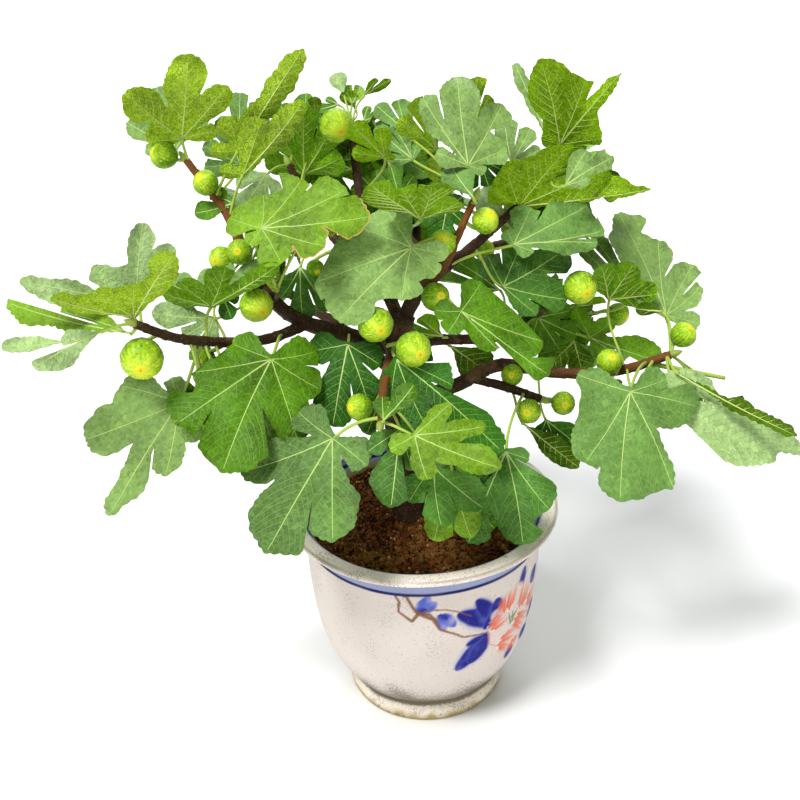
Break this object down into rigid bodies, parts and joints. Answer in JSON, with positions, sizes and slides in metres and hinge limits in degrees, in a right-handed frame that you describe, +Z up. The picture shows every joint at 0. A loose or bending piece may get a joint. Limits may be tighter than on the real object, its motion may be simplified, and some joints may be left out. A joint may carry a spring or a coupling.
{
  "type": "fig tree in a pot",
  "caption": "Young bushy fig tree with spreading boughs, lobed leaves and green figs, growing in a glazed round ceramic pot with a rolled rim and a painted flower spray.",
  "frame": {"origin": "middle of the pot's flat underside, at the level it stands on", "axes": "+Z up along the pot's axis, -Y towards the front of the plant, +X to its right"},
  "size_m": [0.8435, 0.6023, 0.7622],
  "materials": {
    "glaze": "gloss",
    "earth": "matte",
    "bark": "matte",
    "foliage": "satin"
  },
  "bodies": {
    "root": {"pot": "glaze", "soil": "earth", "trunk": "bark", "bough_back": "bark", "bough_back_left": "bark", "bough_back_right": "bark", "bough_front": "bark", "bough_left": "bark", "bough_left_low": "bark", "bough_right": "bark", "bough_right_back": "bark", "bough_right_low": "bark", "bough_top": "bark", "bough_top_left": "bark", "bough_upper_right": "bark", "bough_upright": "bark", "mass_back": "foliage", "mass_back_left": "foliage", "mass_back_right": "foliage", "mass_back_right_low": "foliage", "mass_far_right": "foliage", "mass_front": "foliage", "mass_front_high": "foliage", "mass_front_left": "foliage", "mass_front_low": "foliage", "mass_front_right": "foliage", "mass_left_inner": "foliage", "mass_left_mid": "foliage", "mass_left_shoulder": "foliage", "mass_left_tip": "foliage", "mass_middle_right": "foliage", "mass_right": "foliage", "mass_right_low": "foliage", "mass_right_shoulder": "foliage", "mass_right_under": "foliage", "mass_top": "foliage", "mass_top_left": "foliage", "mass_top_right": "foliage", "mass_upper_left": "foliage", "mass_upper_right": "foliage"}
  },
  "joints": []
}
